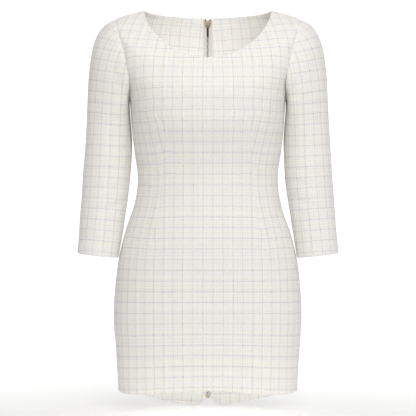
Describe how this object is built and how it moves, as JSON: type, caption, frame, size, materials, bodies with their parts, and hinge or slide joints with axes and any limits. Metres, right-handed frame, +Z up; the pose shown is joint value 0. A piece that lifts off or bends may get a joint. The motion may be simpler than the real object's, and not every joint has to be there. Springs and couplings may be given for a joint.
{
  "type": "bodycon dress",
  "caption": "Hollow filled-out mini dress in checked tweed with a scoop neck, fitted waist, three-quarter sleeves and an exposed metal zip down the centre back.",
  "frame": {"origin": "where the shoulders carry the dress: in the middle between them, level with the shoulder seams' outer ends", "axes": "+Z up, +X to the right of someone facing the front, and the front faces -Y"},
  "size_m": [0.5334, 0.2518, 0.8223],
  "materials": {
    "tweed": "matt woven tweed, cream with a fine lilac-grey check",
    "zip_tape": "cream woven tape",
    "dark_metal": "dark plated zip teeth",
    "pale_metal": "warm grey plated metal"
  },
  "bodies": {
    "dress": {"front": "tweed", "back_left": "tweed", "back_right": "tweed", "sleeve_left": "tweed", "sleeve_right": "tweed", "zip_tape_left": "zip_tape", "zip_tape_right": "zip_tape", "zip_chain": "dark_metal", "zip_slider": "pale_metal", "zip_top_stop_left": "dark_metal", "zip_top_stop_right": "dark_metal", "zip_end_box": "pale_metal"},
    "pull": {"zip_pull": "pale_metal"}
  },
  "joints": [
    {"name": "pull_swing", "type": "hinge", "parent": "dress", "child": "pull", "pos_m": [0, 0.08634, -0.00281], "axis": [1, 0, 0], "range_deg": [0, 170]}
  ]
}
